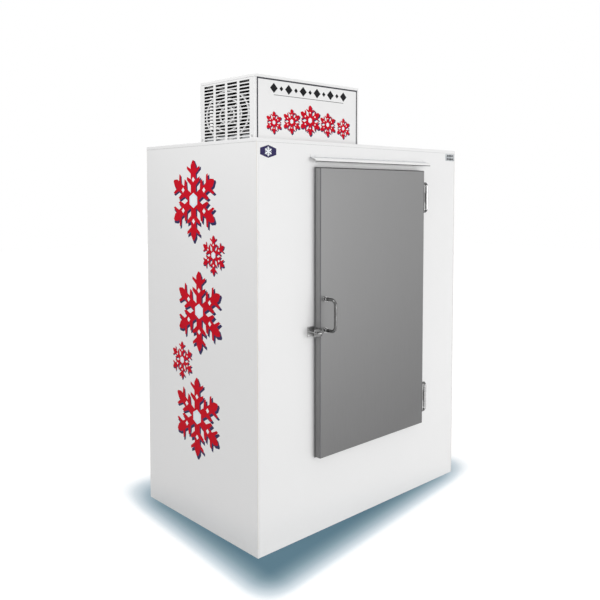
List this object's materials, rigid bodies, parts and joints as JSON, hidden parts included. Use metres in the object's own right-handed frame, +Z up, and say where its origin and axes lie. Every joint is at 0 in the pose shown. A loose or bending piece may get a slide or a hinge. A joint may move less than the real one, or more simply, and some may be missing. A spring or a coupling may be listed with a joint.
{
  "type": "ice merchandiser freezer",
  "caption": "Insulated outdoor ice storage freezer with a hinged steel door, a hasp for a padlock and a top-mounted refrigeration unit under a louvred hood.",
  "frame": {"origin": "on the floor under the middle of the cabinet, at the middle of its footprint without the door and hood", "axes": "+X to the right for somebody who faces the door, +Y to the back, +Z up"},
  "size_m": [1.295, 0.8985, 1.896],
  "materials": {
    "white_enamel": "satin",
    "sign_white": "gloss",
    "door_steel": "satin",
    "galvanised": "satin",
    "chrome": "polished",
    "black_enamel": "satin",
    "aluminium_fins": "satin",
    "fan_aluminium": "satin",
    "copper": "satin",
    "foam": "matte",
    "pale_plastic": "satin",
    "dark_plastic": "matte",
    "rubber": "matte"
  },
  "bodies": {
    "cabinet": {"left_side_panel": "white_enamel", "right_side_panel": "white_enamel", "back_panel": "white_enamel", "top_panel": "white_enamel", "front_panel": "white_enamel", "floor_pan": "galvanised", "skids": "galvanised", "foam_sides": "foam", "foam_back": "foam", "foam_top": "foam", "foam_floor": "foam", "foam_front": "foam", "liner_left": "galvanised", "liner_right": "galvanised", "liner_back": "galvanised", "liner_front": "galvanised", "liner_ceiling": "galvanised", "liner_floor": "galvanised", "door_jamb": "pale_plastic", "drip_rail": "white_enamel", "floor_rack": "galvanised", "drain_tube": "dark_plastic", "strike_plate": "chrome", "hinge_cabinet_leaves": "chrome", "hinge_pins": "chrome", "hood_left_side": "white_enamel", "hood_right_side": "white_enamel", "hood_top": "white_enamel", "hood_front": "white_enamel", "sign_face": "sign_white", "hood_back": "white_enamel", "hood_screws": "chrome", "unit_tray": "galvanised", "compressor": "black_enamel", "compressor_feet": "rubber", "condenser_coil": "aluminium_fins", "fan_shroud": "galvanised", "condenser_motor": "black_enamel", "refrigerant_lines": "copper", "filter_drier": "copper", "control_box": "galvanised", "power_inlet": "dark_plastic", "evaporator_housing": "galvanised", "evaporator_coil": "aluminium_fins", "evaporator_motors": "black_enamel", "evaporator_guards": "chrome", "drip_pan": "pale_plastic"},
    "door": {"door_skin": "door_steel", "door_foam": "foam", "door_liner": "pale_plastic", "door_gasket": "rubber", "door_handle": "chrome", "hinge_door_leaves": "chrome", "hasp_base": "chrome"},
    "hasp": {"hasp_strap": "chrome"},
    "condenser_fan": {"condenser_fan": "fan_aluminium"},
    "evaporator_fan_left": {"evaporator_fan_left": "fan_aluminium"},
    "evaporator_fan_right": {"evaporator_fan_right": "fan_aluminium"},
    "thermostat_knob": {"thermostat_knob": "dark_plastic"},
    "rocker_switch": {"rocker_switch": "dark_plastic"}
  },
  "joints": [
    {"name": "door_hinge", "type": "hinge", "parent": "cabinet", "child": "door", "pos_m": [0.372, -0.429, 1], "axis": [0, 0, 1], "range_deg": [0, 120]},
    {"name": "hasp_hinge", "type": "hinge", "parent": "door", "child": "hasp", "pos_m": [-0.3375, -0.439, 0.861], "axis": [0, 0, 1], "range_deg": [0, 95]},
    {"name": "condenser_fan_spin", "type": "hinge", "parent": "cabinet", "child": "condenser_fan", "pos_m": [-0.491, -0.161, 1.7475], "axis": [1, 0, 0], "continuous": true},
    {"name": "evaporator_fan_left_spin", "type": "hinge", "parent": "cabinet", "child": "evaporator_fan_left", "pos_m": [-0.451, -0.0328, 1.4858], "axis": [0, 1, 0], "continuous": true},
    {"name": "evaporator_fan_right_spin", "type": "hinge", "parent": "cabinet", "child": "evaporator_fan_right", "pos_m": [-0.201, -0.0328, 1.4858], "axis": [0, 1, 0], "continuous": true},
    {"name": "thermostat_turn", "type": "hinge", "parent": "cabinet", "child": "thermostat_knob", "pos_m": [-0.0502, 0.018, 1.781], "axis": [0, 1, 0], "range_deg": [0, 270]},
    {"name": "switch_rock", "type": "hinge", "parent": "cabinet", "child": "rocker_switch", "pos_m": [-0.0902, 0.016, 1.781], "axis": [1, 0, 0], "range_deg": [-16, 0]}
  ]
}
